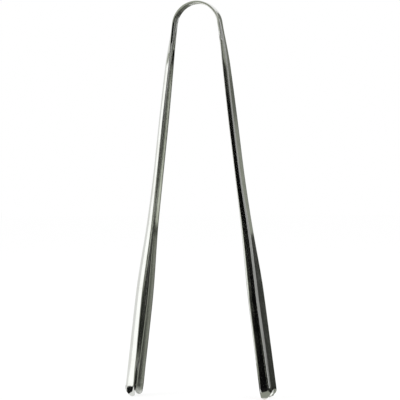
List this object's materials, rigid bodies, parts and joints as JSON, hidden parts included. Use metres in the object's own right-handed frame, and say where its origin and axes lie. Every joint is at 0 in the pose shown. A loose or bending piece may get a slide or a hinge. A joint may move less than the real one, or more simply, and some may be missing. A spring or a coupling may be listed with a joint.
{
  "type": "ice tongs",
  "caption": "One-piece spring ice tongs of polished stainless strip, with a round bow and two trough-shaped jaws that end in blunt claws.",
  "frame": {"origin": "on the table plane, midway between the two jaws, with the tongs upright on the ends of their claws", "axes": "+Z from the claws up to the bow; +X across the spread, from the left arm to the right arm; +Y is the depth, through the width of the strip"},
  "size_m": [0.0768, 0.0172, 0.199],
  "materials": {
    "steel": "polished"
  },
  "bodies": {
    "bow": {"bow_crown": "steel"},
    "left_arm": {"bow_leg_left": "steel", "arm_left": "steel", "jaw_left": "steel"},
    "right_arm": {"bow_leg_right": "steel", "arm_right": "steel", "jaw_right": "steel"}
  },
  "joints": [
    {"name": "squeeze_left", "type": "hinge", "parent": "bow", "child": "left_arm", "pos_m": [-0.00838, 0, 0.19488], "axis": [0, -1, 0], "range_deg": [0, 9.6], "stiffness_Nm_per_rad": 5},
    {"name": "squeeze_right", "type": "hinge", "parent": "bow", "child": "right_arm", "pos_m": [0.00838, 0, 0.19488], "axis": [0, 1, 0], "range_deg": [0, 9.6], "stiffness_Nm_per_rad": 5}
  ],
  "couplings": [
    {"joint": "squeeze_right", "follows": "squeeze_left", "ratio": 1}
  ]
}
